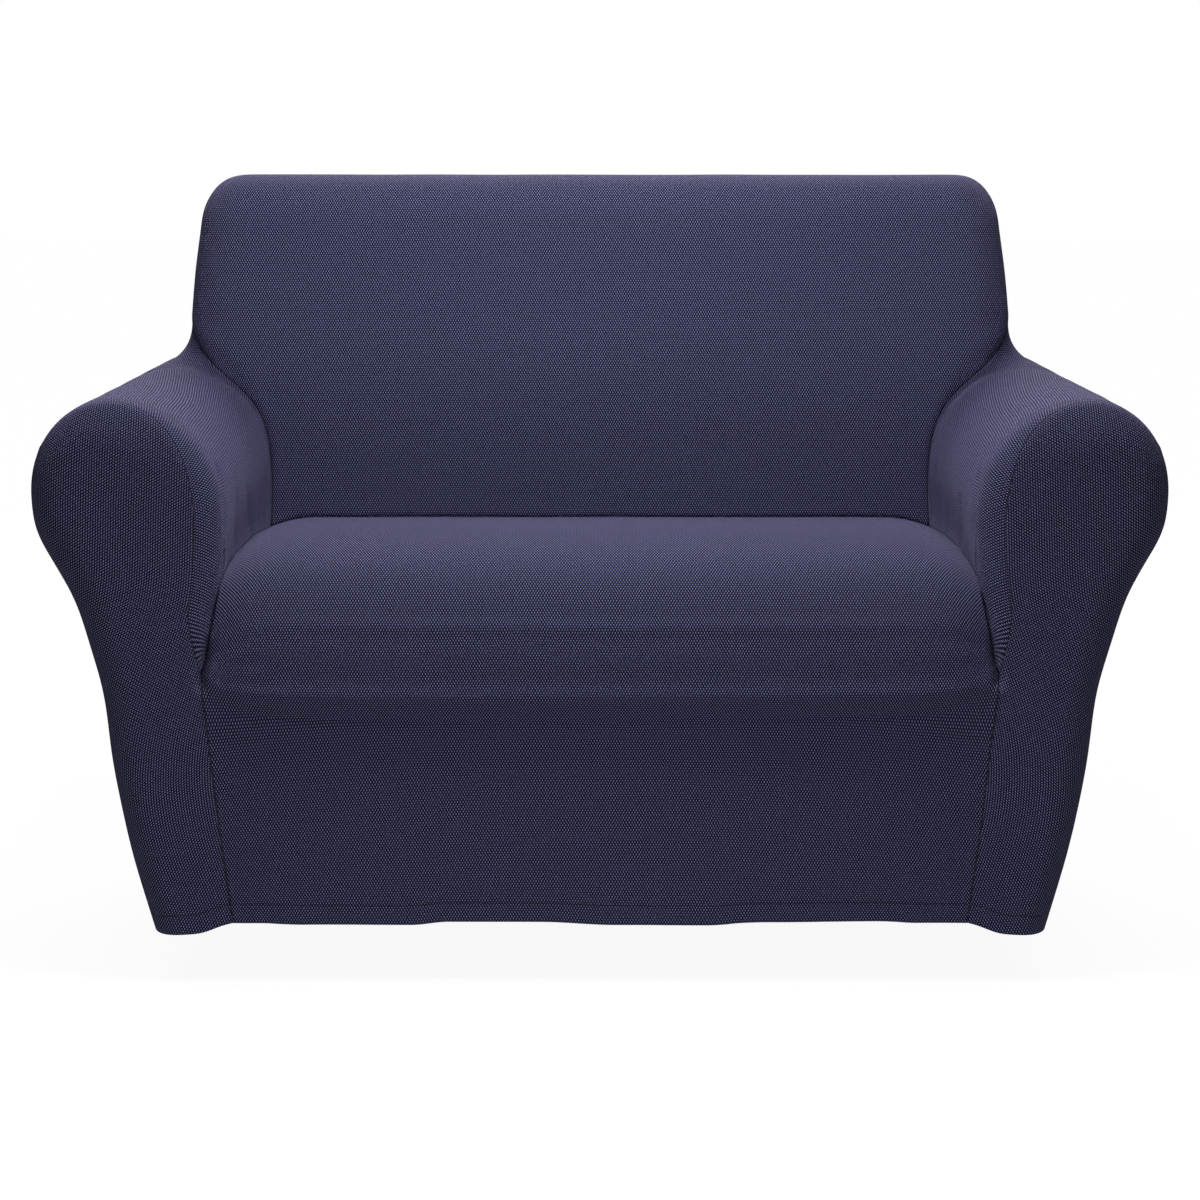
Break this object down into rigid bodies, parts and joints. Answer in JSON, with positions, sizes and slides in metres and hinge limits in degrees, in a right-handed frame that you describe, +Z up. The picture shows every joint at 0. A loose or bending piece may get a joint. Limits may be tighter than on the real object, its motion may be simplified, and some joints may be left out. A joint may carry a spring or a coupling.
{
  "type": "sofa slipcover",
  "caption": "Fitted stretch-knit slipcover for a small rolled-arm sofa, sewn from panels, hollow and open underneath, with an elastic hem.",
  "frame": {"origin": "under the middle of the cover, level with the lowest corners of its hem", "axes": "+X to the right as seen from the front, along the sofa's width; +Y back, away from the front; +Z up"},
  "size_m": [1.3922, 0.8071, 0.9251],
  "materials": {
    "navy_knit": "matt bird's-eye stretch knit, navy with small paler stitches"
  },
  "bodies": {
    "root": {"inside_back": "navy_knit", "outside_back": "navy_knit", "seat_and_skirt": "navy_knit", "arm_sleeve_left": "navy_knit", "arm_sleeve_right": "navy_knit", "arm_front_left": "navy_knit", "arm_front_right": "navy_knit"}
  },
  "joints": []
}
